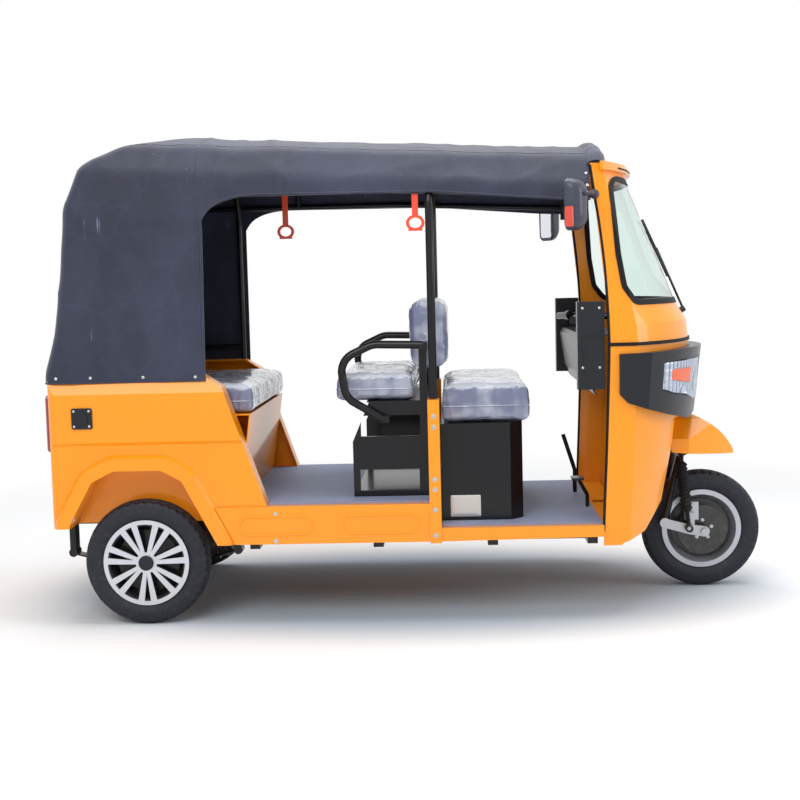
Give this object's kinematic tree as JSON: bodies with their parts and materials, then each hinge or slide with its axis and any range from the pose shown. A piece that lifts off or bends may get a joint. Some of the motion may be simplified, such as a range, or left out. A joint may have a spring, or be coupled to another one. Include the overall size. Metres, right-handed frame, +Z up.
{
  "type": "auto rickshaw",
  "caption": "Three-wheeled electric passenger rickshaw with an open cabin, facing benches, a driver cab and a canvas canopy; wheels roll and the front fork steers.",
  "frame": {"origin": "on the ground at the middle of the bounding box, on the centre plane", "axes": "+X forward, +Y to the vehicle's left, +Z up"},
  "size_m": [2.912, 1.42, 1.9549],
  "materials": {
    "alloy": "cast",
    "black_plastic": "satin",
    "black_rubber": "matt",
    "body_paint": "gloss",
    "canvas": "waxed",
    "cast_black": "painted",
    "clear_glass": "polished",
    "frame_paint": "satin",
    "lens": "clear lens",
    "mat_rubber": "matt",
    "red_lens": "gloss",
    "seat_cover": "gloss film",
    "silver_paint": "silver gloss",
    "strap_plastic": "gloss",
    "tyre_rubber": "matt"
  },
  "bodies": {
    "chassis": {"backrest": "seat_cover", "battery_pack": "black_plastic", "cab_lower": "body_paint", "cab_trim": "black_rubber", "cab_upper": "body_paint", "canopy": "canvas", "charge_port": "black_plastic", "dashboard": "black_plastic", "driver_controls": "frame_paint", "driver_cushion": "seat_cover", "driver_seat_box": "frame_paint", "floor_mats": "mat_rubber", "floor_pan": "body_paint", "front_mudguard": "body_paint", "grab_handles": "strap_plastic", "headlamp_housing": "black_plastic", "headlamps": "lens", "middle_seat_cushion": "seat_cover", "middle_seat_frame": "frame_paint", "mirrors": "black_plastic", "post_brackets": "body_paint", "rear_axle": "cast_black", "rear_panel": "body_paint", "rear_seat_back": "seat_cover", "rear_seat_base": "body_paint", "rear_seat_cushion": "seat_cover", "rear_side_left": "body_paint", "rear_side_right": "body_paint", "rear_springs": "frame_paint", "roof_frame": "frame_paint", "side_sills": "body_paint", "tail_lamps": "red_lens", "underframe": "frame_paint", "wheel_housings": "body_paint", "windscreen": "clear_glass", "wiper": "black_plastic"},
    "steering": {"fork": "frame_paint", "handlebar": "frame_paint", "front_links": "alloy", "front_shocks": "black_rubber"},
    "front_wheel": {"front_tyre": "tyre_rubber", "front_rim": "silver_paint"},
    "rear_wheel_left": {"rear_tyre_left": "tyre_rubber", "rear_rim_left": "frame_paint", "wheel_cover_left": "silver_paint"},
    "rear_wheel_right": {"rear_tyre_right": "tyre_rubber", "rear_rim_right": "frame_paint", "wheel_cover_right": "silver_paint"}
  },
  "joints": [
    {"name": "steering", "type": "hinge", "parent": "chassis", "child": "steering", "pos_m": [1.075, 0, 0.7], "axis": [-0.3746, 0, 0.9272], "range_deg": [-35, 35]},
    {"name": "front_wheel_spin", "type": "hinge", "parent": "steering", "child": "front_wheel", "pos_m": [1.206, 0, 0.25], "axis": [0, 1, 0], "continuous": true},
    {"name": "rear_wheel_left_spin", "type": "hinge", "parent": "chassis", "child": "rear_wheel_left", "pos_m": [-1.074, 0.505, 0.25], "axis": [0, 1, 0], "continuous": true},
    {"name": "rear_wheel_right_spin", "type": "hinge", "parent": "chassis", "child": "rear_wheel_right", "pos_m": [-1.074, -0.505, 0.25], "axis": [0, 1, 0], "continuous": true}
  ]
}
